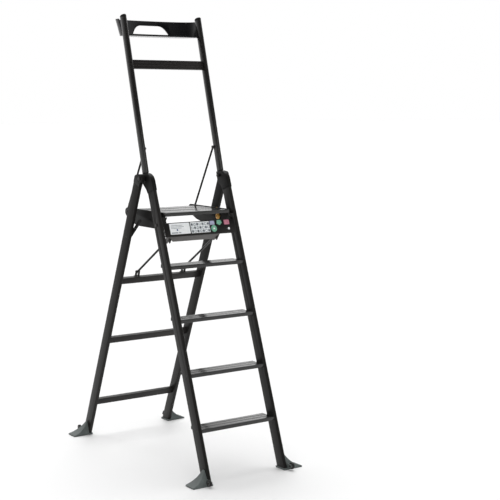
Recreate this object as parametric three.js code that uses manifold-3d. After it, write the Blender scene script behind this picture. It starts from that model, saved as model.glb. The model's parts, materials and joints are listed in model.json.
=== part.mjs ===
// A folding platform step ladder: a front frame with four treads, a rear frame hinged to it, a large
// tilting platform, a tall handrail with a tool tray, stay rods and splayed feet with small rollers.
// Millimetres, +Z up, the climber faces +Y. "left" is -X and "right" is +X, as the climber sees it.

import * as THREE from 'three';
import { mergeVertices } from 'three/addons/utils/BufferGeometryUtils.js';
import Module from 'manifold-3d';

const wasm = await Module();
wasm.setup();

// ---------- driving dimensions ----------
const FLOOR_GAP = 8.3;               // the stiles stand this far up, on the soles of the feet
const CENTRE_Y = 138;                // moves the middle of the footprint to the origin
const GAP = 0.3;                     // gap left between touching pieces
const WALL = 2;                      // wall of the hollow extrusions

const RISE = 235;                    // height from one tread to the next
const TREADS = 4;
const TREAD_DEPTH = 91;
const TREAD_NOSE = 17;               // height of the rounded front edge of a tread

const FRONT = { y0: -420, slope: 0.358, depth: 58, inner: 200, outer: 218 };
const REAR = { y0: 696, slope: -0.399, depth: -57.75, inner: 227, outer: 245 };
const FRONT_TOP = 1262;              // where the front stiles end, at their back edge
const REAR_TOP = 1290;

const HINGE = { y: 118, z: 1330, r: 5 };
const PIVOT = { y: 15, z: 1120, r: 4 };       // the platform tips about this line
const DECK = { front: 0.65, back: 277, top: 1175, lip: 17, half: 177.7 };
const DECK_GROOVES = { count: 2, half: 4.5, depth: 2.5 };      // they part the deck into three planks
const TREAD_GROOVES = { count: 2, half: 2.2, depth: 1.2 };
const ARM = { inner: 178, outer: 184, bottom: 1097, top: 1177 };      // side arms of the platform
const FASCIA = { bottom: 1068, top: 1157, sill: 1131, half: 198.5, thick: 4, setback: 1 };
const STRAP = { bottom: 1036, y: 45, top: 1110, half: 112, thick: 3 };

const RAIL = { y: 79.5, zRef: 1200, slope: 0.271, x: 209, long: 44, wide: 24.6, bottom: 1353, top: 2074 };
const MID_RAIL = { bottom: 1834, top: 1875, thick: 14 };
const TRAY = {
  bottom: 1989, top: 2068, floor: 6, front: 287, side: 320, half: 208, flare: 12, bow: 88, wall: 3,
};
const HAND_HOLE = { bottom: 2004, top: 2045, half: 101, topHalf: 50 };

// Heights at which the top faces of the rear crossbars meet the rear frame's front plane.
const BAR_TOPS = [827.8, 518.3, 181.9];
const BAR = { height: 32, depth: 20, setback: 19.5 };

const LOWER_STAY = { x: 132, y: 330, z: 863, endY: 48, endZ: 1047, r: 5.2 };
const UPPER_STAY = { x: 191.4, y: 322.5, z: 1160, endY: 158, endZ: 1465, r: 4.8 };
const STAY_PIN_R = 3;
const STAY_EAR = { gap: 0.8, thick: 3.2 };       // ears stand this far beside a lower stay
const CATCH_ARM = { y: 245, z: 1045, endY: 150, endZ: 1129, r: 9.3 };   // r: half its breadth
const ROLLER = { r: 15, wide: 10, out: 17, z: 21 };
const EAR = 5;                       // thickness of the ear that carries the roller
const FOOT = { spread: 84, height: 66, peak: 10 };      // peak: breadth of the wedge at its top

// ---------- materials ----------
const paint = (color, roughness, metalness) =>
  new THREE.MeshStandardMaterial({ color, roughness, metalness });
const BLACK = paint(0x1d1c1b, 0.42, 0.6);     // black anodised aluminium
const RIBBED = paint(0x2b2b2a, 0.35, 0.7);    // ribbed walking surfaces
const GLOSS = paint(0x101114, 0.22, 0.0);     // glossy moulded plastic
const MATT = paint(0x1b1b1b, 0.6, 0.0);       // matt moulded plastic
const SOLE = paint(0x4d5351, 0.7, 0.0);       // grey-green foot plastic
const TYRE = paint(0x141414, 0.8, 0.0);
const STEEL = paint(0x2a2927, 0.4, 0.8);      // blackened steel rods and pins

// ---------- solids ----------
function toSolid(geometry) {
  const bare = geometry.clone();
  for (const name of Object.keys(bare.attributes)) {
    if (name !== 'position') bare.deleteAttribute(name);
  }
  const merged = mergeVertices(bare, 1e-4);
  return new wasm.Manifold(new wasm.Mesh({
    numProp: 3,
    vertProperties: new Float32Array(merged.attributes.position.array),
    triVerts: new Uint32Array(merged.index.array),
  }));
}

function toGeometry(solid) {
  const mesh = solid.getMesh();
  const geometry = new THREE.BufferGeometry();
  geometry.setAttribute('position', new THREE.BufferAttribute(new Float32Array(mesh.vertProperties), 3));
  geometry.setIndex(new THREE.BufferAttribute(new Uint32Array(mesh.triVerts), 1));
  geometry.computeVertexNormals();
  return geometry;
}

const join = (first, ...others) =>
  toGeometry(others.reduce((sum, other) => sum.add(toSolid(other)), toSolid(first)));
const cut = (first, ...others) =>
  toGeometry(others.reduce((rest, other) => rest.subtract(toSolid(other)), toSolid(first)));
const common = (first, second) => toGeometry(toSolid(first).intersect(toSolid(second)));

// The same piece for the other side of the ladder.
function mirrored(geometry) {
  const copy = geometry.index ? geometry.clone() : mergeVertices(geometry.clone());
  copy.scale(-1, 1, 1);
  const index = copy.index.array;
  for (let i = 0; i < index.length; i += 3) [index[i], index[i + 1]] = [index[i + 1], index[i]];
  copy.computeVertexNormals();
  return copy;
}

function outline(points, ...holes) {
  const toPoint = ([a, b]) => new THREE.Vector2(a, b);
  const shape = new THREE.Shape(points.map(toPoint));
  shape.holes = holes.map((hole) => new THREE.Path(hole.map(toPoint)));
  return shape;
}

function arc(y, z, r, from, to, steps) {
  const points = [];
  for (let i = 0; i <= steps; i++) {
    const a = THREE.MathUtils.degToRad(from + ((to - from) * i) / steps);
    points.push([y + r * Math.cos(a), z + r * Math.sin(a)]);
  }
  return points;
}

// An outline in the Y-Z plane, extruded along X from x0 to x1.
function slab(shape, x0, x1) {
  const geometry = new THREE.ExtrudeGeometry(shape, { depth: x1 - x0, bevelEnabled: false });
  const frame = new THREE.Matrix4().makeBasis(
    new THREE.Vector3(0, 1, 0), new THREE.Vector3(0, 0, 1), new THREE.Vector3(1, 0, 0));
  geometry.applyMatrix4(frame);
  geometry.translate(x0, 0, 0);
  return geometry;
}

// A pin or disc along X.
const disc = (y, z, r, x0, x1, steps = 20) =>
  slab(outline(arc(y, z, r, 0, 360 - 360 / steps, steps - 1)), x0, x1);

function block(x0, x1, y0, y1, z0, z1) {
  const geometry = new THREE.BoxGeometry(x1 - x0, y1 - y0, z1 - z0);
  geometry.translate((x0 + x1) / 2, (y0 + y1) / 2, (z0 + z1) / 2);
  return geometry;
}

function roundedRect(wide, deep, r, steps = 3) {
  const points = [];
  const corners = [[1, 1, 0], [-1, 1, 90], [-1, -1, 180], [1, -1, 270]];
  for (const [sx, sy, from] of corners) {
    points.push(...arc(sx * (wide / 2 - r), sy * (deep / 2 - r), r, from, from + 90, steps));
  }
  return points;
}

function oval(wide, deep, steps = 28) {
  return arc(0, 0, 1, 0, 360 - 360 / steps, steps - 1).map(([a, b]) => [(a * wide) / 2, (b * deep) / 2]);
}

// A section (width along X, depth across the lean) extruded between two points of one Y-Z plane.
function leaning(shape, x, y0, z0, y1, z1) {
  const along = new THREE.Vector3(0, y1 - y0, z1 - z0);
  const length = along.length();
  along.normalize();
  const across = new THREE.Vector3().crossVectors(along, new THREE.Vector3(1, 0, 0));
  const geometry = new THREE.ExtrudeGeometry(shape, { depth: length, bevelEnabled: false });
  geometry.applyMatrix4(new THREE.Matrix4().makeBasis(new THREE.Vector3(1, 0, 0), across, along));
  geometry.translate(x, y0, z0);
  return geometry;
}

// ---------- the assembly ----------
const ladder = new THREE.Group();
ladder.position.set(0, -CENTRE_Y, 0);

function add(name, geometry, material) {
  const mesh = new THREE.Mesh(geometry, material);
  mesh.name = name;
  ladder.add(mesh);
}

function addPair(name, rightGeometry, material) {
  add(`${name}_right`, rightGeometry, material);
  add(`${name}_left`, mirrored(rightGeometry), material);
}

const edgeY = (frame, z) => frame.y0 + frame.slope * z;          // outer edge of a stile
const middleY = (frame, z) => edgeY(frame, z) + frame.depth / 2;
const across = (frame) => Math.abs(frame.depth) * Math.cos(Math.atan(frame.slope));
const railY = (z) => RAIL.y + RAIL.slope * (z - RAIL.zRef);

// ---------- stiles ----------
function stile(frame, top, bores) {
  const wide = frame.outer - frame.inner;
  const deep = across(frame);
  const inner = roundedRect(wide - 2 * WALL, deep - 2 * WALL, 1.5, 1);
  const shape = outline(roundedRect(wide, deep, 3.5), inner.reverse());
  const x = (frame.inner + frame.outer) / 2;
  const tube = leaning(shape, x, middleY(frame, -30), -30, middleY(frame, top), top);
  const above = common(tube, block(frame.inner - 5, frame.outer + 5, -700, 900, FLOOR_GAP, 1500));
  return cut(above, ...bores);
}

addPair('front_stile', stile(FRONT, FRONT_TOP + 9, [
  disc(PIVOT.y, PIVOT.z, PIVOT.r + 0.4, FRONT.inner - 5, FRONT.outer + 5),
]), BLACK);
addPair('rear_stile', stile(REAR, REAR_TOP + 10, []), BLACK);

// ---------- top joints: the front one carries the handrail tube, the rear one the hinge ----------
function stilePlug(frame, fromZ, toZ) {
  const clear = 2 * WALL + 2 * GAP;
  const shape = outline(roundedRect(frame.outer - frame.inner - clear, across(frame) - clear, 1.5, 1));
  const x = (frame.inner + frame.outer) / 2;
  return leaning(shape, x, middleY(frame, fromZ), fromZ, middleY(frame, toZ), toZ);
}

function frontJoint() {
  const tan = FRONT.slope;
  const drop = (across(FRONT) * tan) / Math.hypot(1, tan);
  const base = FRONT_TOP + 9 + GAP;
  const backZ = base - drop / 2;
  const frontZ = base + drop / 2;
  const shoulder = new THREE.QuadraticBezierCurve(
    new THREE.Vector2(edgeY(FRONT, 1316), 1316), new THREE.Vector2(61, 1349),
    new THREE.Vector2(98.2, 1354.5));
  const heel = new THREE.CubicBezierCurve(
    new THREE.Vector2(railY(1309) + 22.8, 1309), new THREE.Vector2(129, 1294),
    new THREE.Vector2(97, 1287), new THREE.Vector2(edgeY(FRONT, backZ) + FRONT.depth, backZ));
  const points = [
    [edgeY(FRONT, frontZ), frontZ],
    ...shoulder.getPoints(8).map((p) => [p.x, p.y]),
    [141.3, 1346.4],
    ...heel.getPoints(6).map((p) => [p.x, p.y]),
  ].reverse();
  const body = slab(outline(points), RAIL.x - 11, RAIL.x + 11);
  const spigot = leaning(outline(oval(RAIL.wide - 2 * WALL - 0.8, RAIL.long - 2 * WALL - 0.8)),
    RAIL.x, railY(1330), 1330, railY(RAIL.bottom + 45), RAIL.bottom + 45);
  const whole = join(body, stilePlug(FRONT, base - 45, base + 10), spigot);
  return cut(whole, disc(HINGE.y, HINGE.z, HINGE.r + 0.35, 150, 260));
}

function rearJoint() {
  const tan = -REAR.slope;
  const drop = (across(REAR) * tan) / Math.hypot(1, tan);
  const base = REAR_TOP + 10 + GAP;
  const frontZ = base - drop / 2;
  const backZ = base + drop / 2;
  const frontY = edgeY(REAR, frontZ) + REAR.depth;
  const points = [
    [frontY, frontZ],
    [edgeY(REAR, backZ), backZ],
    ...arc(edgeY(REAR, 1330) - 15, 1331, 15, 12, 90, 5),
    ...arc(HINGE.y, HINGE.z, 20, 74, 262, 14),
  ];
  const body = slab(outline(points), REAR.inner, REAR.outer);
  const whole = join(body, stilePlug(REAR, base - 45, base + 10));
  return cut(whole, disc(HINGE.y, HINGE.z, HINGE.r + 0.35, 150, 260));
}

addPair('front_top_joint', frontJoint(), MATT);
addPair('rear_top_joint', rearJoint(), MATT);
addPair('hinge_washer', cut(disc(HINGE.y, HINGE.z, 12, RAIL.x + 11 + GAP, REAR.inner - GAP),
  disc(HINGE.y, HINGE.z, HINGE.r + 0.35, 150, 260)), MATT);

function hingeBolt() {
  const shank = disc(HINGE.y, HINGE.z, HINGE.r, RAIL.x - 20, REAR.outer + 2);
  const head = disc(HINGE.y, HINGE.z, 9, REAR.outer + GAP, REAR.outer + 5);
  const nut = disc(HINGE.y, HINGE.z, 8, RAIL.x - 21, RAIL.x - 11 - GAP, 6);
  return join(shank, head, nut);
}
addPair('hinge_bolt', hingeBolt(), STEEL);

// ---------- treads ----------
// A shallow channel with a grooved top, a nose at the front and a lip at the back.
function ribbedChannel(front, depth, top, nose, grooves, skin) {
  const back = front + depth;
  const points = [
    [front + 1.5, top - nose], [front, top - nose + 1.5], [front, top - 2.5], [front + 2.5, top],
  ];
  const pitch = depth / (grooves.count + 1);
  for (let i = 1; i <= grooves.count; i++) {
    const y = front + i * pitch;
    const floor = top - grooves.depth;
    const narrow = grooves.half - 0.8;
    points.push([y - grooves.half, top], [y - narrow, floor], [y + narrow, floor], [y + grooves.half, top]);
  }
  points.push([back - 2.5, top], [back, top - 2.5], [back, top - nose + 1.5], [back - 1.5, top - nose]);
  points.push([back - skin, top - nose], [back - skin, top - skin - 1], [front + skin, top - skin - 1]);
  points.push([front + skin, top - nose]);
  return outline(points.reverse());
}

const treadGap = FRONT.inner - GAP;
for (let i = 1; i <= TREADS; i++) {
  const shape = ribbedChannel(edgeY(FRONT, i * RISE), TREAD_DEPTH, i * RISE, TREAD_NOSE, TREAD_GROOVES, 2.5);
  add(`tread_${i}`, slab(shape, -treadGap, treadGap), RIBBED);
}

// ---------- rear crossbars ----------
const rearUp = new THREE.Vector3(0, REAR.slope, 1).normalize();
const rearBack = new THREE.Vector3(0, 1, -REAR.slope).normalize();

BAR_TOPS.forEach((top, i) => {
  const shape = outline(roundedRect(BAR.depth, BAR.height, 3),
    roundedRect(BAR.depth - 2 * WALL, BAR.height - 2 * WALL, 1.5, 1).reverse());
  const length = 2 * (REAR.inner - GAP);
  const bar = new THREE.ExtrudeGeometry(shape, { depth: length, bevelEnabled: false });
  bar.applyMatrix4(new THREE.Matrix4().makeBasis(rearBack, rearUp, new THREE.Vector3(1, 0, 0)));
  const middle = new THREE.Vector3(-length / 2, edgeY(REAR, top) + REAR.depth, top)
    .addScaledVector(rearBack, BAR.setback + BAR.depth / 2)
    .addScaledVector(rearUp, -BAR.height / 2);
  bar.translate(middle.x, middle.y, middle.z);
  add(`rear_crossbar_${i + 1}`, toGeometry(toSolid(bar)), BLACK);
});

// ---------- handrail ----------
function handrailTube() {
  const inner = oval(RAIL.wide - 2 * WALL, RAIL.long - 2 * WALL);
  const shape = outline(oval(RAIL.wide, RAIL.long), inner.reverse());
  return leaning(shape, RAIL.x, railY(RAIL.bottom), RAIL.bottom, railY(RAIL.top), RAIL.top);
}
addPair('handrail_tube', handrailTube(), BLACK);

// A domed cap on the tube's end, with a plug inside the tube.
function tubeCap() {
  const lean = Math.atan(RAIL.slope);
  const profile = [[0, 0], [1, 0], [1, 4], [0.93, 8], [0.75, 11], [0.45, 12.6], [0, 13.2]];
  const dome = new THREE.LatheGeometry(profile.map(([r, h]) => new THREE.Vector2(r, h)), 28);
  dome.rotateX(Math.PI / 2);
  dome.scale(RAIL.wide / 2, RAIL.long / 2, 1);
  dome.rotateX(-lean);
  dome.translate(RAIL.x, railY(RAIL.top) + GAP * Math.sin(lean), RAIL.top + GAP * Math.cos(lean));
  const inside = 2 * WALL + 0.8;
  const plug = leaning(outline(oval(RAIL.wide - inside, RAIL.long - inside)),
    RAIL.x, railY(RAIL.top - 25), RAIL.top - 25, railY(RAIL.top + 2), RAIL.top + 2);
  return join(dome, plug);
}
addPair('tube_cap', tubeCap(), MATT);

function midRail() {
  const lean = Math.atan(RAIL.slope);
  const half = (MID_RAIL.top - MID_RAIL.bottom) / 2 / Math.cos(lean);
  const t = MID_RAIL.thick / 2;
  const local = [
    [-t, -half + 2], [-t + 2, -half], [t - 2, -half], [t, -half + 2],
    [t, half - 2], [t - 2, half], [-t + 2, half], [-t, half - 2],
  ];
  for (const level of [7, -7]) {
    local.push([-t, level + 1.2], [-t + 1, level + 0.6], [-t + 1, level - 0.6], [-t, level - 1.2]);
  }
  const z = (MID_RAIL.top + MID_RAIL.bottom) / 2;
  const points = local.map(([a, b]) => [
    railY(z) + a * Math.cos(lean) + b * Math.sin(lean), z - a * Math.sin(lean) + b * Math.cos(lean)]);
  return slab(outline(points), -(RAIL.x - RAIL.wide / 2 - 1.2), RAIL.x - RAIL.wide / 2 - 1.2);
}
add('mid_rail', midRail(), BLACK);

// ---------- tool tray ----------
// The bowed wall is a loft between two plan outlines; it leans back with the tubes.
function bowedSolid(half0, half1, bow, side, z0, z1, steps = 30) {
  const plan = (half) => {
    const points = [];
    for (let i = 0; i <= steps; i++) {
      const a = (Math.PI * i) / steps;
      const c = Math.cos(a);
      const s = Math.sin(a);
      points.push([half * Math.sign(c) * Math.abs(c) ** 0.8, side + 11.5 + bow * s ** 0.8]);
    }
    return [...points, [-half, side], [half, side]];
  };
  const rings = [plan(half0), plan(half1)];
  const count = rings[0].length;
  const vertices = [];
  rings.forEach((ring, k) => {
    const z = k ? z1 : z0;
    for (const [x, y] of ring) vertices.push(x, y + RAIL.slope * (z - TRAY.bottom), z);
  });
  const faces = THREE.ShapeUtils.triangulateShape(rings[0].map(([x, y]) => new THREE.Vector2(x, y)), []);
  const index = [];
  for (const [a, b, c] of faces) index.push(a, c, b, a + count, b + count, c + count);
  for (let i = 0; i < count; i++) {
    const j = (i + 1) % count;
    index.push(i, j, j + count, i, j + count, i + count);
  }
  const geometry = new THREE.BufferGeometry();
  geometry.setAttribute('position', new THREE.BufferAttribute(new Float32Array(vertices), 3));
  geometry.setIndex(index);
  return geometry;
}

function handHole() {
  const { bottom, top, half, topHalf } = HAND_HOLE;
  const shape = new THREE.Shape();
  shape.moveTo(-half, bottom);
  shape.lineTo(half, bottom);
  shape.bezierCurveTo(half - 12, bottom + 24, topHalf + 24, top, topHalf, top);
  shape.lineTo(-topHalf, top);
  shape.bezierCurveTo(-topHalf - 24, top, -half + 12, bottom + 24, -half, bottom);
  const settings = { depth: 120, bevelEnabled: false, curveSegments: 8 };
  const punch = new THREE.ExtrudeGeometry(shape, settings);
  punch.applyMatrix4(new THREE.Matrix4().makeBasis(
    new THREE.Vector3(1, 0, 0), new THREE.Vector3(0, 0, 1), new THREE.Vector3(0, -1, 0)));
  punch.translate(0, TRAY.side + TRAY.bow + 85, 0);
  return punch;
}

function toolTray() {
  const { wall, bottom, top, half, flare, bow, side } = TRAY;
  const flareAt = (z) => (flare * (z - bottom)) / (top - bottom);
  const over = 10;
  const floor = bottom + TRAY.floor;
  const shell = bowedSolid(half, half + flare, bow, side, bottom, top);
  const hollow = bowedSolid(half - wall + flareAt(floor), half - wall + flareAt(top + over),
    bow - wall, side - 5, floor, top + over);
  const halfShelf = RAIL.x - RAIL.wide / 2 - 1.2;
  const shelf = block(-halfShelf, halfShelf, TRAY.front, side + 20, bottom, floor);
  return cut(join(cut(shell, hollow), shelf), handHole());
}
add('tool_tray', toolTray(), GLOSS);

// ---------- platform ----------
const deckShape = ribbedChannel(DECK.front, DECK.back - DECK.front, DECK.top, DECK.lip, DECK_GROOVES, 4);
add('platform_deck', slab(deckShape, -DECK.half, DECK.half), RIBBED);

function sideArm() {
  const front = (z) => edgeY(FRONT, z) + (FASCIA.setback + FASCIA.thick + GAP) * Math.hypot(1, FRONT.slope);
  const points = [
    [front(ARM.bottom), ARM.bottom], [240, ARM.bottom], [287, 1107.5], [318, 1122],
    ...arc(336, 1156, 21, -48, 90, 7), [front(ARM.top), ARM.top],
  ];
  return cut(slab(outline(points), ARM.inner, ARM.outer),
    disc(PIVOT.y, PIVOT.z, PIVOT.r + 0.35, 150, 260),
    disc(UPPER_STAY.y, UPPER_STAY.z, STAY_PIN_R + 0.35, 150, 260));
}
addPair('platform_side_arm', sideArm(), MATT);

function platformPin() {
  const shank = disc(PIVOT.y, PIVOT.z, PIVOT.r, ARM.inner - 2, FRONT.outer + 1.5);
  const head = disc(PIVOT.y, PIVOT.z, 7.5, FRONT.outer + GAP, FRONT.outer + 2.8);
  const clip = disc(PIVOT.y, PIVOT.z, 7, ARM.inner - 3, ARM.inner - GAP);
  return join(shank, head, clip);
}
addPair('platform_pin', platformPin(), STEEL);
addPair('pivot_spacer', cut(disc(PIVOT.y, PIVOT.z, 9, ARM.outer + GAP, FRONT.inner - GAP),
  disc(PIVOT.y, PIVOT.z, PIVOT.r + 0.35, 150, 260)), MATT);

// The fascia hangs in the plane of the front stiles. The notch at its top is the window under the deck.
function fascia() {
  const { bottom, top, sill, half, thick, setback } = FASCIA;
  const along = (z) => (z - bottom) * Math.hypot(1, FRONT.slope);
  const shape = outline([
    [-half, 0], [half, 0], [half, along(top)], [170, along(top)], [188, along(sill)], [-188, along(sill)],
    [-170, along(top)], [-half, along(top)],
  ]);
  const geometry = new THREE.ExtrudeGeometry(shape, { depth: thick, bevelEnabled: false });
  const up = new THREE.Vector3(0, FRONT.slope, 1).normalize();
  const forward = new THREE.Vector3(0, -1, FRONT.slope).normalize();
  geometry.applyMatrix4(new THREE.Matrix4().makeBasis(new THREE.Vector3(1, 0, 0), up, forward));
  const origin = new THREE.Vector3(0, edgeY(FRONT, bottom), bottom)
    .addScaledVector(forward, -(thick + setback));
  geometry.translate(origin.x, origin.y, origin.z);
  return toGeometry(toSolid(geometry));
}
add('platform_fascia', fascia(), BLACK);

// A sloping plate under the platform, wider towards the top, with a pair of ears behind it for each
// lower stay. The stay's end lies between its ears: this is the pivot where the linkage is open.
function stayStrap() {
  const { bottom, y, top, half, thick } = STRAP;
  const spread = 1.2;
  const run = 0.78;
  const reach = ARM.inner - GAP;
  const shape = outline([
    [-half, 0], [half, 0], [reach, (reach - half) / spread], [reach, top - bottom], [-reach, top - bottom],
    [-reach, (reach - half) / spread],
  ].map(([x, rise]) => [x, rise * Math.hypot(1, run)]));
  const geometry = new THREE.ExtrudeGeometry(shape, { depth: thick, bevelEnabled: false });
  const up = new THREE.Vector3(0, -run, 1).normalize();
  const forward = new THREE.Vector3(0, -1, -run).normalize();
  geometry.applyMatrix4(new THREE.Matrix4().makeBasis(new THREE.Vector3(1, 0, 0), up, forward));
  geometry.translate(0, y, bottom);
  const ear = outline([[14, 1072], [40, 1038], [45, 1029], [52, 1026], [60, 1033], [58, 1050], [40, 1068]]);
  const ears = [];
  const near = LOWER_STAY.r + STAY_EAR.gap;
  const far = near + STAY_EAR.thick;
  for (const x of [LOWER_STAY.x, -LOWER_STAY.x]) {
    ears.push(slab(ear, x - far, x - near), slab(ear, x + near, x + far));
  }
  return join(geometry, ...ears);
}
add('stay_strap', stayStrap(), BLACK);

// ---------- stay rods ----------
function rod(stay, eyeR, eyeX1) {
  const round = outline(arc(0, 0, stay.r, 0, 330, 11));
  const shaft = leaning(round, stay.x, stay.y, stay.z, stay.endY, stay.endZ);
  const eye = disc(stay.y, stay.z, eyeR, stay.x - stay.r, eyeX1, 16);
  const tip = disc(stay.endY, stay.endZ, eyeR, stay.x - stay.r, stay.x + stay.r, 16);
  const beside = block(eyeX1, eyeX1 + 20, stay.y - 10, stay.y + 10, stay.z - 10, stay.z + 10);
  const bore = disc(stay.y, stay.z, STAY_PIN_R + 0.35, stay.x - 30, stay.x + 30, 16);
  return cut(join(shaft, eye, tip), beside, bore);
}
const eyeSide = UPPER_STAY.x + 1.5;
addPair('upper_stay', rod(UPPER_STAY, 7, eyeSide), STEEL);
addPair('lower_stay', rod(LOWER_STAY, 7, LOWER_STAY.x + LOWER_STAY.r), STEEL);

function upperStayPin() {
  const { y, z, x, r } = UPPER_STAY;
  const shank = disc(y, z, STAY_PIN_R, ARM.inner - 2, x + r - 0.5);
  const head = disc(y, z, 5.5, ARM.inner - 2.5, ARM.inner - GAP);
  const collar = disc(y, z, 6, ARM.outer + GAP, x - r - GAP);
  const tail = disc(y, z, 5, eyeSide + GAP, x + r);
  return join(shank, head, collar, tail);
}
addPair('upper_stay_pin', upperStayPin(), STEEL);

// Lug on the first crossbar: a base with two ears; the pin crosses both ears and the rod's eye.
function stayLug() {
  const { x, y, z, r } = LOWER_STAY;
  const up = new THREE.Vector2(REAR.slope, 1).normalize();
  const back = new THREE.Vector2(1, -REAR.slope).normalize();
  const at = (a, b) => [y + a * back.x + b * up.x, z + a * back.y + b * up.y];
  const barTop = (BAR_TOPS[0] - z) * up.y + (edgeY(REAR, BAR_TOPS[0]) + REAR.depth - y) * up.x + GAP;
  const ear = outline([at(5, barTop), at(6.5, 0), at(4, 6), at(-4, 6), at(-7, 0), at(-12, barTop)]);
  const base = outline([at(5, barTop), at(5, barTop + 2.5), at(-13.5, barTop + 2.5), at(-13.5, barTop)]);
  const near = r + STAY_EAR.gap;
  const far = near + STAY_EAR.thick;
  const whole = join(slab(ear, x - far, x - near), slab(ear, x + near, x + far), slab(base, x - 15, x + 15));
  return cut(whole, disc(y, z, STAY_PIN_R + 0.35, x - 20, x + 20));
}
addPair('stay_lug', stayLug(), STEEL);

function lowerStayPin() {
  const { x, y, z, r } = LOWER_STAY;
  const far = r + STAY_EAR.gap + STAY_EAR.thick + GAP;
  const shank = disc(y, z, STAY_PIN_R, x - far - 1.5, x + far + 1.5);
  return join(shank, disc(y, z, 5, x - far - 2, x - far), disc(y, z, 5, x + far, x + far + 2));
}
addPair('lower_stay_pin', lowerStayPin(), STEEL);

// ---------- catch arms on the rear stiles, beside the platform ----------
function catchArm() {
  const { y, z, endY, endZ, r } = CATCH_ARM;
  const angle = THREE.MathUtils.radToDeg(Math.atan2(endZ - z, endY - y));
  const points = [
    ...arc(y, z, r, angle + 90, angle + 270, 8),
    ...arc(endY, endZ, r, angle - 90, angle + 90, 8),
  ];
  return slab(outline(points), FRONT.outer + 4, REAR.inner - GAP);
}
addPair('catch_arm', catchArm(), MATT);

// ---------- feet and rollers ----------
// A wedge that splays outwards with a hollow curve and narrows towards its top, a sole under the stile,
// a plug up inside it and an ear for the roller, which turns on the ear's outer side.
// "outward" is -1 for the front feet and +1 for the rear ones.
function footWedge(frame, outward) {
  const { spread, height, peak } = FOOT;
  const x0 = frame.outer + GAP;
  const profile = new THREE.Shape();
  profile.moveTo(x0, 0);
  profile.lineTo(x0 + spread - 3, 0);
  profile.lineTo(x0 + spread, 6);
  profile.bezierCurveTo(x0 + spread * 0.5, 17, x0 + spread * 0.22, 38, x0 + 5, height);
  profile.lineTo(x0, height);
  const settings = { depth: 200, bevelEnabled: false, curveSegments: 8 };
  const flare = new THREE.ExtrudeGeometry(profile, settings);
  flare.applyMatrix4(new THREE.Matrix4().makeBasis(
    new THREE.Vector3(1, 0, 0), new THREE.Vector3(0, 0, 1), new THREE.Vector3(0, -1, 0)));
  flare.translate(0, middleY(frame, 0) + 100, 0);
  const outer = (z) => edgeY(frame, z) + outward * 2;
  const inner = (z) => edgeY(frame, z) + frame.depth - outward * 4;
  const crest = edgeY(frame, height) + frame.depth * 0.3;
  const side = [
    [outer(0), 0], [outer(8), 8], [crest + (outward * peak) / 2, height],
    [crest - (outward * peak) / 2, height], [inner(8), 8], [inner(0), 0],
  ];
  return common(flare, slab(outline(outward < 0 ? side.reverse() : side), x0 - 1, x0 + spread + 1));
}

function foot(frame, outward) {
  const x0 = frame.outer + GAP;
  const edge = edgeY(frame, 0);
  const ends = [edge + outward * 2, edge + frame.depth - outward * 8];
  const sole = block(frame.inner - 2, x0 + 1, Math.min(...ends), Math.max(...ends), 0, FLOOR_GAP - GAP);
  const plug = common(stilePlug(frame, -30, 60), block(0, 400, -700, 900, 2, 60));
  const y = edge + outward * ROLLER.out;
  const from = outward < 0 ? 90 : -90;
  const root = edge - outward * 12;
  const ear = slab(outline([...arc(y, ROLLER.z, 7, from, from + 180, 10),
    [root, ROLLER.z + outward * 9], [root, ROLLER.z - outward * 9]]), x0, x0 + EAR);
  return cut(join(footWedge(frame, outward), sole, plug, ear), disc(y, ROLLER.z, 3.35, x0 - 5, x0 + 15, 16));
}

function rollerSet(prefix, frame, outward) {
  const y = edgeY(frame, 0) + outward * ROLLER.out;
  const x0 = frame.outer + GAP;
  const x1 = x0 + EAR + 0.6;
  const x2 = x1 + ROLLER.wide;
  addPair(`${prefix}_foot`, foot(frame, outward), SOLE);
  addPair(`${prefix}_roller`, cut(disc(y, ROLLER.z, ROLLER.r, x1, x2, 32),
    disc(y, ROLLER.z, 3.35, x0 - 5, x2 + 5, 16)), TYRE);
  addPair(`${prefix}_axle`, join(disc(y, ROLLER.z, 3, x0 - 2.5, x2 + 2, 16),
    disc(y, ROLLER.z, 4.8, x0 - 2.8, x0 - GAP, 16), disc(y, ROLLER.z, 5, x2 + 0.5, x2 + 2.5, 16)), STEEL);
}
rollerSet('front', FRONT, -1);
rollerSet('rear', REAR, 1);

export default ladder;
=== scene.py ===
"""The looks of the folding platform step ladder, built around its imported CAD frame.

Each CAD node is shown by a refined copy of its own shape with rounded edges, and small parts that only
matter to the eye (rivets, screws, wheel hubs, labels, a button) are added here. Units are metres, +Z up,
and the climber faces +Y. A size in millimetres says so in its comment or docstring.
"""

import json
import math

import bmesh
import bpy
from mathutils import Matrix, Vector

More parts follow.
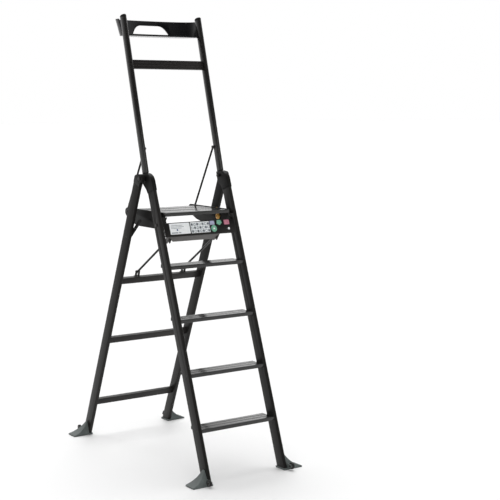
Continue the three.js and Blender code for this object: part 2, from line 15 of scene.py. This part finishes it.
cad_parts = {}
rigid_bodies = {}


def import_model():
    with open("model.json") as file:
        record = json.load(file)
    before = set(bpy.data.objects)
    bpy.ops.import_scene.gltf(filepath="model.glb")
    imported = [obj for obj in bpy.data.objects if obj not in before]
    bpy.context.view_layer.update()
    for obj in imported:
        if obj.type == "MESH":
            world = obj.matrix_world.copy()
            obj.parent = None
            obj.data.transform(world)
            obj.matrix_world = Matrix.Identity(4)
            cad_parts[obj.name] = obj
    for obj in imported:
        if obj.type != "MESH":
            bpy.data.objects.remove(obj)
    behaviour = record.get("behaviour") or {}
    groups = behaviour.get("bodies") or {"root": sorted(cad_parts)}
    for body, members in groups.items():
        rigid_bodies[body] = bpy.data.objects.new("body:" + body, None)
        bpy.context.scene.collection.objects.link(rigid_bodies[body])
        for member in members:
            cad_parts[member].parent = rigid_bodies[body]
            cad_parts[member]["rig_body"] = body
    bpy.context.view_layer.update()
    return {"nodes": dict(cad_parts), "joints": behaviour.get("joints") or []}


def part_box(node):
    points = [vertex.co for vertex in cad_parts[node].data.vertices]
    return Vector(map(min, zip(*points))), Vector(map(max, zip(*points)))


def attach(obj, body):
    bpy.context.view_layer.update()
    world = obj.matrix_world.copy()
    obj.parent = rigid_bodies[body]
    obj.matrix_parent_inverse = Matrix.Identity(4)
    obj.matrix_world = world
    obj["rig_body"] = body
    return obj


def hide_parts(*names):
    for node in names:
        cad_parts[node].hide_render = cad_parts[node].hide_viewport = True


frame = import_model()

# ---------- places and facts, from the frame and the CAD ----------
MM = 0.001
JOINTS = {joint["name"]: joint for joint in frame["joints"]}
SIDES = (("left", -1), ("right", 1))
TREADS = 4
CROSSBARS = 3

# angles from the vertical, from each member's run along Y over its rise; positive when its top is nearer +Y
FRONT_LEAN = math.atan(0.358)
REAR_LEAN = -math.atan(0.399)
RAIL_LEAN = math.atan(0.271)

STILE_DEPTH = 0.058
FRONT_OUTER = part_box("front_stile_right")[1].x
REAR_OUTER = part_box("rear_stile_right")[1].x
RAIL_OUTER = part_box("handrail_tube_right")[1].x

FASCIA_THICK = 0.004
FASCIA_FORWARD = Vector((0, -math.cos(FRONT_LEAN), math.sin(FRONT_LEAN)))
FASCIA_UP = Vector((0, math.sin(FRONT_LEAN), math.cos(FRONT_LEAN)))

# ---------- material nodes ----------
GRAIN_DEPTH = 0.0004
COAT_ROUGHNESS = 0.12
NOISE_ROUGHNESS = 0.55
CLOUD_TO_COLOUR = (0.3, 0.7)
CLOUD_TO_ROUGHNESS = (0.25, 0.75)
EDGE_POINTINESS = (0.52, 0.60)


def node_material(name):
    """A new material, its node tree and its main shader."""
    material = bpy.data.materials.new(name)
    material.use_nodes = True
    tree = material.node_tree
    return material, tree, tree.nodes["Principled BSDF"]


def surface_coordinates(tree, lean=0.0, stretch=(1.0, 1.0, 1.0)):
    """Object coordinates turned so that Z runs along a leaning member, then stretched."""
    source = tree.nodes.new("ShaderNodeTexCoord")
    turn = tree.nodes.new("ShaderNodeMapping")
    turn.vector_type = "POINT"
    turn.inputs["Rotation"].default_value = (lean, 0.0, 0.0)
    scale = tree.nodes.new("ShaderNodeMapping")
    scale.inputs["Scale"].default_value = stretch
    tree.links.new(source.outputs["Object"], turn.inputs["Vector"])
    tree.links.new(turn.outputs["Vector"], scale.inputs["Vector"])
    return scale.outputs["Vector"]


def noise(tree, vector, scale, detail=4.0):
    texture = tree.nodes.new("ShaderNodeTexNoise")
    texture.inputs["Scale"].default_value = scale
    texture.inputs["Detail"].default_value = detail
    texture.inputs["Roughness"].default_value = NOISE_ROUGHNESS
    tree.links.new(vector, texture.inputs["Vector"])
    return texture.outputs["Fac"]


def remap(tree, value, old, new):
    """Carries a value from the range old to the range new, and holds it inside new."""
    node = tree.nodes.new("ShaderNodeMapRange")
    node.inputs["From Min"].default_value = old[0]
    node.inputs["From Max"].default_value = old[1]
    node.inputs["To Min"].default_value = new[0]
    node.inputs["To Max"].default_value = new[1]
    tree.links.new(value, node.inputs["Value"])
    return node.outputs["Result"]


def blend_colours(tree, factor, first, second):
    """Mixes two colours; each is an RGB tuple or another node's output."""
    node = tree.nodes.new("ShaderNodeMix")
    node.data_type = "RGBA"
    colour_inputs = [socket for socket in node.inputs if socket.type == "RGBA"]
    tree.links.new(factor, node.inputs["Factor"])
    for socket, colour in zip(colour_inputs, (first, second)):
        if isinstance(colour, tuple):
            socket.default_value = (*colour, 1.0)
        else:
            tree.links.new(colour, socket)
    return [socket for socket in node.outputs if socket.type == "RGBA"][0]


def bump(tree, shader, height, strength):
    node = tree.nodes.new("ShaderNodeBump")
    node.inputs["Strength"].default_value = strength
    node.inputs["Distance"].default_value = GRAIN_DEPTH
    tree.links.new(height, node.inputs["Height"])
    tree.links.new(node.outputs["Normal"], shader.inputs["Normal"])


def worn_edges(tree, colour, worn, amount):
    """The worn colour comes through on sharp convex edges."""
    geometry = tree.nodes.new("ShaderNodeNewGeometry")
    edge = remap(tree, geometry.outputs["Pointiness"], EDGE_POINTINESS, (0.0, amount))
    return blend_colours(tree, edge, colour, worn)


def finish_material(name, dark, light, rough, lean=0.0, stretch=(1.0, 1.0, 1.0), grain=900.0,
                    grain_height=0.04, cloud=14.0, metallic=0.0, worn=None, wear=0.3, coat=0.0, shine=0.3):
    """A finish with slow cloudy variation, fine grain and slightly worn edges. The clouds run between the
    colours dark and light and over the range rough of roughness; grain and cloud are the noises' scales."""
    material, tree, shader = node_material(name)
    where = surface_coordinates(tree, lean, stretch)
    clouds = noise(tree, where, cloud)
    fine = noise(tree, where, grain, detail=2.0)
    colour = blend_colours(tree, remap(tree, clouds, CLOUD_TO_COLOUR, (0.0, 1.0)), dark, light)
    if worn:
        colour = worn_edges(tree, colour, worn, wear)
    tree.links.new(colour, shader.inputs["Base Color"])
    tree.links.new(remap(tree, clouds, CLOUD_TO_ROUGHNESS, rough), shader.inputs["Roughness"])
    shader.inputs["Metallic"].default_value = metallic
    shader.inputs["Coat Weight"].default_value = coat
    shader.inputs["Coat Roughness"].default_value = COAT_ROUGHNESS
    shader.inputs["Specular IOR Level"].default_value = shine
    bump(tree, shader, fine, grain_height)
    return material


def extruded(name, lean, rough=(0.28, 0.42), shine=0.16):
    """Black anodised aluminium: long faint streaks along the extrusion, small scuffs at the edges."""
    return finish_material(name, (0.0050, 0.0047, 0.0044), (0.0100, 0.0094, 0.0088), rough, lean=lean,
                           stretch=(1.0, 1.0, 0.03), grain=1400.0, grain_height=0.10, cloud=60.0,
                           worn=(0.06, 0.057, 0.054), shine=shine)


def printed_film(name, paper, tint):
    """Vinyl label film: an almost even colour with faint print mottling and a soft sheen."""
    return finish_material(name, paper, tint, (0.30, 0.42), grain=1200.0, grain_height=0.03, cloud=120.0)


# ---------- finishes ----------
FRONT_BLACK = extruded("front_anodised_black", FRONT_LEAN)
REAR_BLACK = extruded("rear_anodised_black", REAR_LEAN)
RAIL_BLACK = extruded("rail_anodised_black", RAIL_LEAN, rough=(0.18, 0.27), shine=0.5)
LEVEL_BLACK = finish_material(
    "level_anodised_black", (0.0060, 0.0052, 0.0050), (0.0115, 0.0100, 0.0095), (0.34, 0.48),
    stretch=(0.03, 1.0, 1.0), grain=1400.0, grain_height=0.10, cloud=60.0, worn=(0.06, 0.055, 0.052))
TREAD_BLACK = finish_material(
    "tread_anodised", (0.006, 0.006, 0.0058), (0.010, 0.010, 0.0097), (0.13, 0.20),
    stretch=(0.04, 1.0, 1.0), grain=700.0, grain_height=0.012, cloud=24.0, worn=(0.10, 0.10, 0.097),
    wear=0.4, shine=0.5)
SHEET_BLACK = finish_material(
    "sheet_black", (0.0055, 0.0052, 0.0050), (0.0105, 0.0100, 0.0095), (0.26, 0.38),
    grain=1500.0, grain_height=0.06, cloud=22.0, worn=(0.08, 0.075, 0.07))
STRAP_GREY = finish_material(
    "strap_grey", (0.060, 0.057, 0.054), (0.090, 0.086, 0.082), (0.34, 0.46),
    stretch=(0.05, 1.0, 1.0), grain=1300.0, grain_height=0.08, cloud=30.0, metallic=0.55,
    worn=(0.25, 0.24, 0.23), wear=0.4)
MOULDED_BLACK = finish_material(
    "moulded_black", (0.0055, 0.0053, 0.0050), (0.0100, 0.0096, 0.0092), (0.38, 0.52),
    grain=2200.0, grain_height=0.14, cloud=18.0, worn=(0.03, 0.03, 0.028), wear=0.35, shine=0.14)
TRAY_BLACK = finish_material(
    "tray_gloss_black", (0.0040, 0.0042, 0.0046), (0.0070, 0.0074, 0.0082), (0.14, 0.24),
    grain=600.0, grain_height=0.03, cloud=9.0, worn=(0.02, 0.02, 0.022), coat=0.15)
FOOT_GREY = finish_material(
    "foot_grey_green", (0.085, 0.099, 0.096), (0.125, 0.142, 0.138), (0.48, 0.64),
    grain=2600.0, grain_height=0.22, cloud=26.0, worn=(0.15, 0.165, 0.16), wear=0.45)
WHEEL_BLACK = finish_material(
    "wheel_black", (0.006, 0.006, 0.006), (0.012, 0.012, 0.0118), (0.50, 0.70),
    grain=2400.0, grain_height=0.22, cloud=60.0, worn=(0.06, 0.06, 0.058), wear=0.4)
HUB_GREY = finish_material(
    "hub_grey", (0.075, 0.080, 0.078), (0.11, 0.116, 0.113), (0.36, 0.5),
    grain=1800.0, grain_height=0.1, cloud=40.0, worn=(0.12, 0.12, 0.12), wear=0.4)
STEEL_BLACK = finish_material(
    "steel_blackened", (0.0070, 0.0066, 0.0062), (0.0135, 0.0128, 0.0120), (0.28, 0.42),
    grain=1500.0, grain_height=0.10, cloud=45.0, metallic=0.1, worn=(0.12, 0.115, 0.11), wear=0.4)
DARK_RIVET = finish_material(
    "rivet_dark", (0.014, 0.0135, 0.013), (0.024, 0.023, 0.022), (0.30, 0.42),
    grain=900.0, grain_height=0.08, cloud=80.0, metallic=0.5, worn=(0.2, 0.2, 0.2))

FILM_WHITE = printed_film("film_white", (0.84, 0.86, 0.87), (0.92, 0.94, 0.95))
FILM_INK = printed_film("film_ink", (0.06, 0.07, 0.085), (0.12, 0.13, 0.15))
FILM_GREY_INK = printed_film("film_grey_ink", (0.26, 0.29, 0.31), (0.38, 0.41, 0.43))
FILM_LILAC = printed_film("film_lilac", (0.36, 0.37, 0.52), (0.46, 0.47, 0.62))
FILM_GREEN = printed_film("film_green", (0.12, 0.36, 0.24), (0.24, 0.50, 0.36))
FILM_ROSE = printed_film("film_rose", (0.42, 0.13, 0.20), (0.58, 0.24, 0.30))
FILM_ORANGE = printed_film("film_orange", (0.78, 0.36, 0.05), (0.94, 0.54, 0.14))
FILM_BROWN = printed_film("film_brown", (0.20, 0.08, 0.015), (0.34, 0.15, 0.03))
FILM_BLUE = printed_film("film_blue", (0.02, 0.05, 0.16), (0.04, 0.08, 0.24))

# the finish of each family of CAD nodes, and the size of its rounded corners in millimetres
FINISHES = {
    "front_stile": (FRONT_BLACK, 0.6), "rear_stile": (REAR_BLACK, 0.6),
    "handrail_tube": (RAIL_BLACK, 0.3), "mid_rail": (LEVEL_BLACK, 0.7), "rear_crossbar": (LEVEL_BLACK, 0.6),
    "tread": (TREAD_BLACK, 0.7), "platform_deck": (TREAD_BLACK, 0.7),
    "platform_fascia": (SHEET_BLACK, 1.0), "stay_strap": (STRAP_GREY, 0.6),
    "platform_side_arm": (MOULDED_BLACK, 1.5), "catch_arm": (MOULDED_BLACK, 1.0),
    "front_top_joint": (MOULDED_BLACK, 2.2), "rear_top_joint": (MOULDED_BLACK, 2.2),
    "hinge_washer": (MOULDED_BLACK, 0.8), "pivot_spacer": (MOULDED_BLACK, 0.8),
    "tube_cap": (MOULDED_BLACK, 0.6), "tool_tray": (TRAY_BLACK, 0.9),
    "front_foot": (FOOT_GREY, 1.2), "rear_foot": (FOOT_GREY, 1.2),
    "front_roller": (WHEEL_BLACK, 1.4), "rear_roller": (WHEEL_BLACK, 1.4),
    "upper_stay": (STEEL_BLACK, 0.6), "lower_stay": (STEEL_BLACK, 0.6),
    "upper_stay_pin": (STEEL_BLACK, 0.5), "lower_stay_pin": (STEEL_BLACK, 0.5),
    "stay_lug": (STEEL_BLACK, 0.5), "hinge_bolt": (STEEL_BLACK, 0.9), "platform_pin": (STEEL_BLACK, 0.7),
    "front_axle": (STEEL_BLACK, 0.5), "rear_axle": (STEEL_BLACK, 0.5),
}


def family(node):
    """The longest key of FINISHES that begins the node's name."""
    return max((key for key in FINISHES if node.startswith(key)), key=len)


# ---------- making pieces ----------
WELD_DISTANCE = 0.00002
FLAT_DEGREES = 0.6
CORNER_DEGREES = 32.0
CORNER_SEGMENTS = 2
REFINED_SMOOTH_DEGREES = 24.0
TURNED_SMOOTH_DEGREES = 40.0


def new_object(name, edited, material, body):
    """Makes a piece from a BMesh, which is freed, and lets it ride with a body."""
    mesh = bpy.data.meshes.new(name)
    edited.to_mesh(mesh)
    edited.free()
    mesh.materials.append(material)
    piece = bpy.data.objects.new(name, mesh)
    bpy.context.scene.collection.objects.link(piece)
    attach(piece, body)
    return piece


def smooth_by_angle(piece, degrees):
    """Shades a piece smooth, but for open edges and edges that turn by the angle or more."""
    limit = math.radians(degrees)
    edited = bmesh.new()
    edited.from_mesh(piece.data)
    for face in edited.faces:
        face.smooth = True
    for edge in edited.edges:
        edge.smooth = len(edge.link_faces) == 2 and edge.calc_face_angle(0.0) < limit
    edited.to_mesh(piece.data)
    edited.free()


def apply_modifiers(piece):
    """Replaces the piece's mesh with its evaluated one, and leaves no modifier on it."""
    graph = bpy.context.evaluated_depsgraph_get()
    mesh = bpy.data.meshes.new_from_object(piece.evaluated_get(graph))
    piece.modifiers.clear()
    old = piece.data
    piece.data = mesh
    bpy.data.meshes.remove(old)


def refined(node):
    """A copy of a CAD node with its flat faces merged and its corners rounded; it stands for the node."""
    material, rounding_mm = FINISHES[family(node)]
    source = frame["nodes"][node]
    edited = bmesh.new()
    edited.from_mesh(source.data)
    bmesh.ops.remove_doubles(edited, verts=edited.verts, dist=WELD_DISTANCE)
    flat = math.radians(FLAT_DEGREES)
    bmesh.ops.dissolve_limit(edited, angle_limit=flat, verts=edited.verts, edges=edited.edges)
    piece = new_object(node + "_finish", edited, material, source["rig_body"])
    rounding = piece.modifiers.new("rounding", "BEVEL")
    rounding.width = rounding_mm * MM
    rounding.segments = CORNER_SEGMENTS
    rounding.limit_method = "ANGLE"
    rounding.angle_limit = math.radians(CORNER_DEGREES)
    bpy.context.view_layer.update()
    apply_modifiers(piece)
    smooth_by_angle(piece, REFINED_SMOOTH_DEGREES)
    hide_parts(node)


def turned(name, profile, place, axis, material, body, steps=24):
    """A round part from (radius, height) pairs, standing at place along axis."""
    place = Vector(place)
    turn = Vector((0, 0, 1)).rotation_difference(Vector(axis).normalized()).to_matrix()
    edited = bmesh.new()
    rings = []
    for radius, height in profile:
        if radius == 0:
            rings.append([edited.verts.new(place + turn @ Vector((0, 0, height)))])
            continue
        ring = []
        for i in range(steps):
            angle = 2 * math.pi * i / steps
            point = Vector((radius * math.cos(angle), radius * math.sin(angle), height))
            ring.append(edited.verts.new(place + turn @ point))
        rings.append(ring)
    for lower, upper in zip(rings, rings[1:]):
        for i in range(steps):
            j = (i + 1) % steps
            if len(lower) == 1:
                edited.faces.new((lower[0], upper[j], upper[i]))
            elif len(upper) == 1:
                edited.faces.new((lower[i], lower[j], upper[0]))
            else:
                edited.faces.new((lower[i], lower[j], upper[j], upper[i]))
    bmesh.ops.recalc_face_normals(edited, faces=edited.faces)
    piece = new_object(name, edited, material, body)
    smooth_by_angle(piece, TURNED_SMOOTH_DEGREES)


# ---------- rivets, screws and hubs ----------
def dome(radius, height):
    """Profile of a rivet head that stands on its face, from its radius and height in millimetres."""
    r, h = radius * MM, height * MM
    return [(0, 0), (r, 0), (r * 0.97, h * 0.35), (r * 0.78, h * 0.75), (r * 0.42, h * 0.97), (0, h)]


TREAD_HEAD = dome(3.4, 0.5)
CROSSBAR_HEAD = dome(3.0, 0.5)
CATCH_HEAD = dome(4.2, 0.8)
SCREW_HEAD = dome(2.9, 0.5)
FASCIA_HEAD = dome(6, 1.6)


def outer_head(name, head, place, body):
    """A rivet or screw head that looks outwards from the side of the ladder that place is on."""
    turned(name, head, place, (math.copysign(1, place[0]), 0, 0), DARK_RIVET, body)


def outer_pair(name, head, x, middle, half_gap, lean, body):
    """Two heads at x, one above the other along a leaning member, about the height and depth of middle."""
    for k, rise in enumerate((-half_gap, half_gap)):
        outer_head(f"{name}_{k}", head, (x, middle.y + rise * math.tan(lean), middle.z + rise), body)


def front_edge(z):
    """Y of the front stiles' front edge at height z."""
    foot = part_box("front_stile_left")[0]
    return foot.y + (z - foot.z) * math.tan(FRONT_LEAN)


def tread_rivets():
    """Two rivets side by side through each front stile into every tread."""
    for number in range(1, TREADS + 1):
        low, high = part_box(f"tread_{number}")
        z = (low.z + high.z) / 2
        for side, sign in SIDES:
            for k, share in enumerate((0.3, 0.7)):
                place = (sign * FRONT_OUTER, front_edge(z) + share * STILE_DEPTH, z)
                outer_head(f"tread_rivet_{number}_{side}_{k}", TREAD_HEAD, place, "front_frame")


def crossbar_rivets():
    """Two rivets through each rear stile into every crossbar."""
    half_gap = 0.008
    for number in range(1, CROSSBARS + 1):
        low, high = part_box(f"rear_crossbar_{number}")
        for side, sign in SIDES:
            outer_pair(f"crossbar_rivet_{number}_{side}", CROSSBAR_HEAD, sign * REAR_OUTER,
                       (low + high) / 2, half_gap, REAR_LEAN, "rear_frame")


def catch_rivets():
    """The visible rivet at the lower end of each catch arm, on the outside of the rear stile."""
    inset = 0.012
    low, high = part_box("catch_arm_left")
    for side, sign in SIDES:
        place = (sign * REAR_OUTER, high.y - inset, low.z + inset)
        outer_head(f"catch_rivet_{side}", CATCH_HEAD, place, "rear_frame")


def mid_rail_screws():
    """Two screws through the outer side of each handrail tube into the mid rail."""
    half_gap = 0.009
    low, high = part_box("mid_rail")
    for side, sign in SIDES:
        outer_pair(f"mid_rail_screw_{side}", SCREW_HEAD, sign * RAIL_OUTER,
                   (low + high) / 2, half_gap, RAIL_LEAN, "front_frame")


def hub_profile():
    """Section of a wheel hub: a flat ring with a raised rim, let a little into the roller. The names are
    radii and heights above the roller's face in millimetres."""
    bore, rim_inside, top_inside, top_outside, rim_outside = 5.2, 7.0, 7.8, 9.0, 9.8
    sunk, flat, shoulder, top = -0.6, 0.2, 0.3, 0.8
    section = [(bore, sunk), (rim_outside, sunk), (rim_outside, shoulder), (top_outside, top),
               (top_inside, top), (rim_inside, flat), (bore, flat), (bore, sunk)]
    return [(radius * MM, height * MM) for radius, height in section]


def wheel_hubs():
    """A lighter hub with a raised rim on both faces of each roller."""
    for end in ("front", "rear"):
        for side, _ in SIDES:
            centre = Vector(JOINTS[f"{end}_roller_{side}_spin"]["pos_m"])
            low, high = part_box(f"{end}_roller_{side}")
            for k, (face, sign) in enumerate(((low.x, -1), (high.x, 1))):
                turned(f"{end}_hub_{side}_{k}", hub_profile(), (face, centre.y, centre.z), (sign, 0, 0),
                       HUB_GREY, f"{end}_roller_body_{side}")


# ---------- labels: plain film with simple signs, no writing ----------
# Outlines are in millimetres. On the fascia, x is from its middle and z from the floor.
FILM_THICK = 0.0003
FILM_GAP = 0.00005


def fascia_point(x, z, lift):
    """A point on the fascia's front face, x and z in millimetres, lifted off it."""
    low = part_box("platform_fascia")[0]
    base = Vector((x * MM, low.y, low.z + FASCIA_THICK * math.sin(FRONT_LEAN)))
    rise = (z * MM - base.z) / FASCIA_UP.z
    return base + FASCIA_UP * rise + FASCIA_FORWARD * lift


def film(name, corners, material, at=fascia_point, layer=0):
    """A thin flat patch on the platform with the given outline. at(a, b, lift) is a point on the surface,
    and layer is how many films lie under this one."""
    bottom = layer * FILM_THICK + FILM_GAP
    edited = bmesh.new()
    lower = [edited.verts.new(at(a, b, bottom)) for a, b in corners]
    upper = [edited.verts.new(at(a, b, bottom + FILM_THICK)) for a, b in corners]
    edited.faces.new(upper)
    edited.faces.new(list(reversed(lower)))
    for i in range(len(corners)):
        j = (i + 1) % len(corners)
        edited.faces.new((lower[i], lower[j], upper[j], upper[i]))
    bmesh.ops.recalc_face_normals(edited, faces=edited.faces)
    new_object(name, edited, material, "platform")


def rectangle(x0, x1, z0, z1, corner=0.0):
    """Outline of a rectangle, with its corners rounded to the radius named corner."""
    if not corner:
        return [(x0, z0), (x1, z0), (x1, z1), (x0, z1)]
    arc_steps = 4
    points = []
    for cx, cz, start in ((x1 - corner, z0 + corner, -90), (x1 - corner, z1 - corner, 0),
                          (x0 + corner, z1 - corner, 90), (x0 + corner, z0 + corner, 180)):
        for i in range(arc_steps + 1):
            angle = math.radians(start + 90 * i / arc_steps)
            points.append((cx + corner * math.cos(angle), cz + corner * math.sin(angle)))
    return points


def regular(x, z, radius, count, start=90.0):
    """Outline of a regular polygon with count corners, the first in the direction start."""
    angles = [math.radians(start + 360 * i / count) for i in range(count)]
    return [(x + radius * math.cos(angle), z + radius * math.sin(angle)) for angle in angles]


def data_plate():
    """The white plate at the fascia's left, where grey bars and a dot stand in for its print."""
    film("label_plate", rectangle(-169, -60, 1078, 1127, 3), FILM_WHITE)
    left = -162
    bars = [rectangle(left, -128, 1082, 1087), rectangle(-124, -112, 1082, 1087),
            rectangle(left, -100, 1116, 1118), rectangle(left, -92, 1110, 1112),
            rectangle(left, -106, 1104, 1106)]
    for i, bar in enumerate(bars):
        film(f"label_line_{i}", bar, FILM_GREY_INK, layer=1)
    film("label_dot", regular(-130, 1097, 4, 20), FILM_BLUE, layer=1)


def sign_sheet():
    """The white sheet beside it: rows of small grey frames, each with a plain shape."""
    rows, columns = 3, 7
    first_x, first_z, column_step, row_step = -47, 1086, 15, 15.5
    frame_half, frame_corner, mark_radius = 6, 1.5, 4.4
    film("sign_sheet", rectangle(-55, 50, 1078, 1127, 2), FILM_WHITE)
    for row in range(rows):
        for column in range(columns):
            x = first_x + column * column_step
            z = first_z + row * row_step
            left, right = x - frame_half, x + frame_half
            square = rectangle(left, right, z - frame_half, z + frame_half, frame_corner)
            film(f"sign_frame_{row}_{column}", square, FILM_GREY_INK, layer=1)
            mark = regular(x, z, mark_radius, 3 + (row + column) % 3, 90 + 30 * column)
            ink = FILM_WHITE if (row + column) % 2 else FILM_INK
            film(f"sign_mark_{row}_{column}", mark, ink, layer=2)


def coloured_labels():
    """The coloured films at the fascia's right, and the white rivet head below the rose one."""
    film("label_lilac", rectangle(54, 80, 1110, 1128, 2), FILM_LILAC)
    film("label_green_round", regular(73, 1093, 15.5, 32), FILM_GREEN)
    film("label_green_mark", regular(73, 1093, 7, 3), FILM_WHITE, layer=1)
    tab = [(92, 1113), (108, 1106), (122, 1117), (116, 1130), (96, 1130)]
    film("label_green_tab", tab, FILM_GREEN)
    film("label_rose", rectangle(134, 164, 1107, 1129, 3), FILM_ROSE)
    turned("fascia_rivet", FASCIA_HEAD, fascia_point(156, 1089, 0), FASCIA_FORWARD, FILM_WHITE,
           "platform")


def arm_button():
    """A raised round button on the inner face of the right arm, with a brown dot on its top."""
    inner_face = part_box("platform_side_arm_right")[0].x
    y, z, dot_base = -0.046, 1.136, 0.0098
    button = [(0, 0), (0.0145, 0), (0.0145, 0.0035), (0.0132, 0.0068), (0.0095, 0.0090), (0.0045, 0.0098),
              (0, 0.0100)]
    dot = [(0, 0), (0.0042, 0), (0.0036, 0.0008), (0, 0.0012)]
    turned("arm_button", button, (inner_face, y, z), (-1, 0, 0), FILM_ORANGE,
           "platform", steps=40)
    turned("arm_button_mark", dot, (inner_face - dot_base, y, z), (-1, 0, 0), FILM_BROWN,
           "platform")


def arm_tabs():
    """Two small films on the right arm's top, a little narrower than the arm."""
    low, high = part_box("platform_side_arm_right")
    margin = 1.0

    def on_top(x, y, lift):
        return Vector((x * MM, y * MM, high.z + lift))

    left, right = low.x / MM + margin, high.x / MM - margin
    film("arm_tab_blue", rectangle(left, right, -56, -40), FILM_BLUE, on_top)
    film("arm_tab_orange", rectangle(left, right, -32, -24), FILM_ORANGE, on_top)


# ---------- floor, light and camera ----------
def floor():
    """A pale floor so wide that its edge isn't seen."""
    half = 60.0
    white = (0.86, 0.86, 0.86)
    material, tree, shader = node_material("floor_white")
    clouds = noise(tree, surface_coordinates(tree), 2.0)
    dimmer = tuple(channel * 0.99 for channel in white)
    tree.links.new(blend_colours(tree, clouds, white, dimmer), shader.inputs["Base Color"])
    shader.inputs["Roughness"].default_value = 0.6

    edited = bmesh.new()
    corners = ((-half, -half), (half, -half), (half, half), (-half, half))
    edited.faces.new([edited.verts.new((x, y, 0)) for x, y in corners])
    mesh = bpy.data.meshes.new("floor")
    edited.to_mesh(mesh)
    edited.free()
    mesh.materials.append(material)
    plane = bpy.data.objects.new("floor", mesh)
    bpy.context.scene.collection.objects.link(plane)


def facing(tree, direction, toward):
    """The dot product of the direction looked in and a fixed one."""
    node = tree.nodes.new("ShaderNodeVectorMath")
    node.operation = "DOT_PRODUCT"
    node.inputs[1].default_value = toward
    tree.links.new(direction, node.inputs[0])
    return node.outputs["Value"]


def surroundings():
    """White all round for the eye. For light, it is bright behind and above the ladder and dim in front of
    it but for one soft box beside the camera."""
    bright_side, soft_box_side = (0.50, 0.80, 0.32), (-0.47, -0.88, 0.0)
    dim, bright, soft_box_light = 0.06, 1.0, 2.2
    world = bpy.data.worlds.new("studio")
    world.use_nodes = True
    tree = world.node_tree
    background = tree.nodes["Background"]
    direction = tree.nodes.new("ShaderNodeTexCoord").outputs["Generated"]
    glow = remap(tree, facing(tree, direction, bright_side), (-0.25, 0.65), (dim, bright))
    soft_box = remap(tree, facing(tree, direction, soft_box_side), (0.94, 0.985), (0.0, soft_box_light))
    light = tree.nodes.new("ShaderNodeMath")
    light.operation = "ADD"
    tree.links.new(glow, light.inputs[0])
    tree.links.new(soft_box, light.inputs[1])
    seen_directly = tree.nodes.new("ShaderNodeLightPath").outputs["Is Camera Ray"]
    strength = tree.nodes.new("ShaderNodeMix")
    tree.links.new(seen_directly, strength.inputs["Factor"])
    tree.links.new(light.outputs["Value"], strength.inputs["A"])
    strength.inputs["B"].default_value = 1.0
    background.inputs["Color"].default_value = (1.0, 1.0, 1.0, 1.0)
    tree.links.new(strength.outputs["Result"], background.inputs["Strength"])
    bpy.context.scene.world = world
    bpy.context.scene.view_settings.view_transform = "Standard"


def sun(name, energy, spread_degrees, source, mirrored):
    """A broad sun that shines from the direction named source."""
    light = bpy.data.lights.new(name, "SUN")
    light.energy = energy
    light.angle = math.radians(spread_degrees)
    lamp = bpy.data.objects.new(name, light)
    lamp.rotation_euler = (-Vector(source)).to_track_quat("-Z", "Y").to_euler()
    lamp.visible_glossy = mirrored
    bpy.context.scene.collection.objects.link(lamp)


def suns():
    """A key light from above and behind, and a fill from the front that leaves no reflection."""
    sun("key", 1.7, 50, (0.25, 0.75, 1.6), mirrored=True)
    sun("fill", 0.9, 70, (-0.5, -0.9, 0.7), mirrored=False)


def camera():
    """Looks from the front left, a little above the platform's height."""
    place = Vector((-3.18783, -4.98318, 1.71301))
    yaw, pitch, roll = math.radians(35.754), math.radians(-7.073), math.radians(0.243)
    forward = Vector((math.sin(yaw) * math.cos(pitch), math.cos(yaw) * math.cos(pitch), math.sin(pitch)))
    level = Vector((math.cos(yaw), -math.sin(yaw), 0))
    upright = level.cross(forward)
    right = level * math.cos(roll) + upright * math.sin(roll)
    up = upright * math.cos(roll) - level * math.sin(roll)
    turn = Matrix((right, up, -forward)).transposed().to_4x4()
    data = bpy.data.cameras.new("camera")
    data.lens = 89.758
    data.sensor_width = 36.0
    data.clip_end = 100.0
    eye = bpy.data.objects.new("camera", data)
    eye.matrix_world = Matrix.Translation(place) @ turn
    bpy.context.scene.collection.objects.link(eye)
    bpy.context.scene.camera = eye


# ---------- the scene ----------
for node in sorted(frame["nodes"]):
    refined(node)

tread_rivets()
crossbar_rivets()
catch_rivets()
mid_rail_screws()
wheel_hubs()

data_plate()
sign_sheet()
coloured_labels()
arm_button()
arm_tabs()

floor()
surroundings()
suns()
camera()
